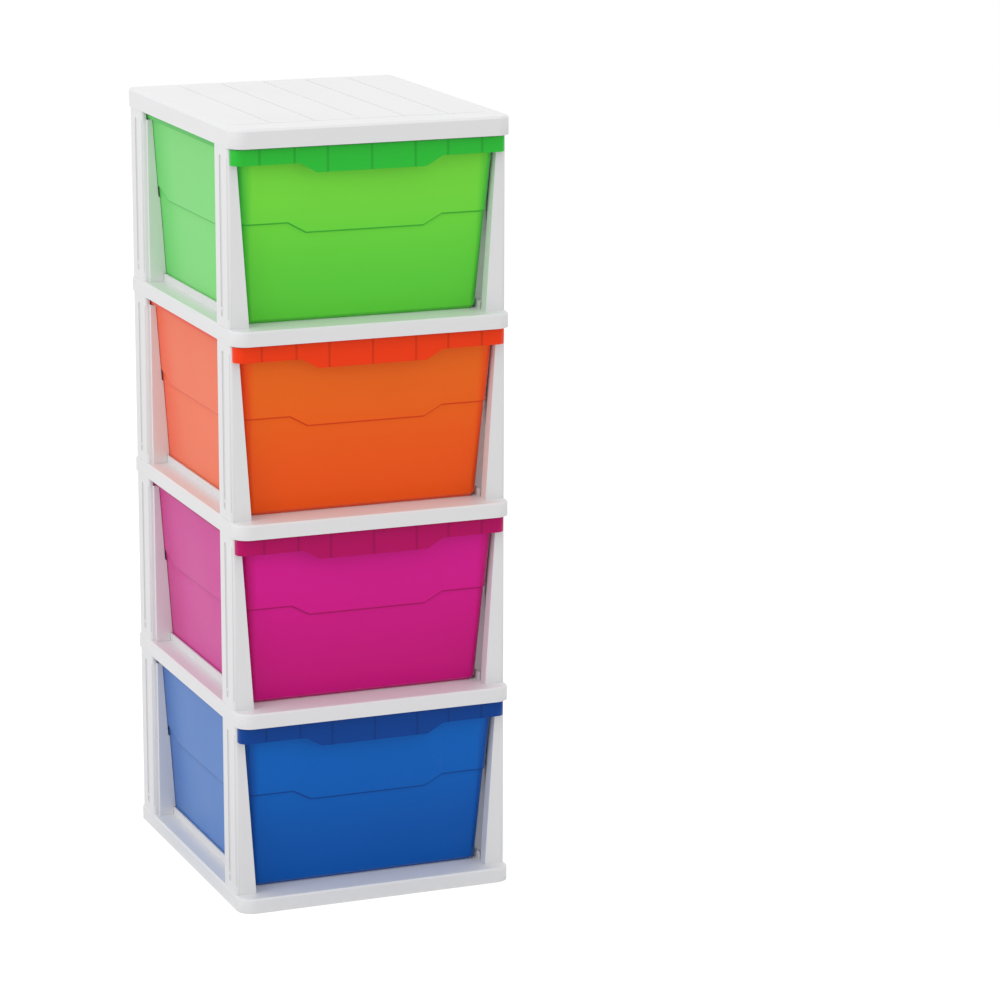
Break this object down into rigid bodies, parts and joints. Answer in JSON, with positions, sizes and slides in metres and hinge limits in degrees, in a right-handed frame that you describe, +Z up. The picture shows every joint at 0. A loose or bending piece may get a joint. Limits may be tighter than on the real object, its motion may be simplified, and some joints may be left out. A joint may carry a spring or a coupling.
{
  "type": "plastic drawer tower",
  "caption": "Tall plastic drawer tower with translucent coloured drawers that slide out of a white frame of shelves and corner posts.",
  "frame": {"origin": "middle of the base's underside, on the floor", "axes": "+Z up, X along the width, -Y to the front, where the drawers open"},
  "size_m": [0.385, 0.456, 1.045],
  "materials": {
    "white_plastic": "satin moulded polypropylene, opaque white",
    "blue_plastic": "translucent moulded polypropylene",
    "magenta_plastic": "translucent moulded polypropylene",
    "orange_plastic": "translucent moulded polypropylene",
    "green_plastic": "translucent moulded polypropylene"
  },
  "bodies": {
    "root": {"base_frame": "white_plastic", "shelf_1": "white_plastic", "shelf_2": "white_plastic", "shelf_3": "white_plastic", "top_panel": "white_plastic", "post_front_left_1": "white_plastic", "post_front_left_2": "white_plastic", "post_front_left_3": "white_plastic", "post_front_left_4": "white_plastic", "post_front_right_1": "white_plastic", "post_front_right_2": "white_plastic", "post_front_right_3": "white_plastic", "post_front_right_4": "white_plastic", "post_rear_left_1": "white_plastic", "post_rear_left_2": "white_plastic", "post_rear_left_3": "white_plastic", "post_rear_left_4": "white_plastic", "post_rear_right_1": "white_plastic", "post_rear_right_2": "white_plastic", "post_rear_right_3": "white_plastic", "post_rear_right_4": "white_plastic", "back_panel_1": "white_plastic", "back_panel_2": "white_plastic", "back_panel_3": "white_plastic", "back_panel_4": "white_plastic"},
    "drawer_1_body": {"drawer_1": "blue_plastic"},
    "drawer_2_body": {"drawer_2": "magenta_plastic"},
    "drawer_3_body": {"drawer_3": "orange_plastic"},
    "drawer_4_body": {"drawer_4": "green_plastic"}
  },
  "joints": [
    {"name": "drawer_1_slide", "type": "slide", "parent": "root", "child": "drawer_1_body", "axis": [0, -1, 0], "range_m": [0, 0.3]},
    {"name": "drawer_2_slide", "type": "slide", "parent": "root", "child": "drawer_2_body", "axis": [0, -1, 0], "range_m": [0, 0.3]},
    {"name": "drawer_3_slide", "type": "slide", "parent": "root", "child": "drawer_3_body", "axis": [0, -1, 0], "range_m": [0, 0.3]},
    {"name": "drawer_4_slide", "type": "slide", "parent": "root", "child": "drawer_4_body", "axis": [0, -1, 0], "range_m": [0, 0.3]}
  ]
}
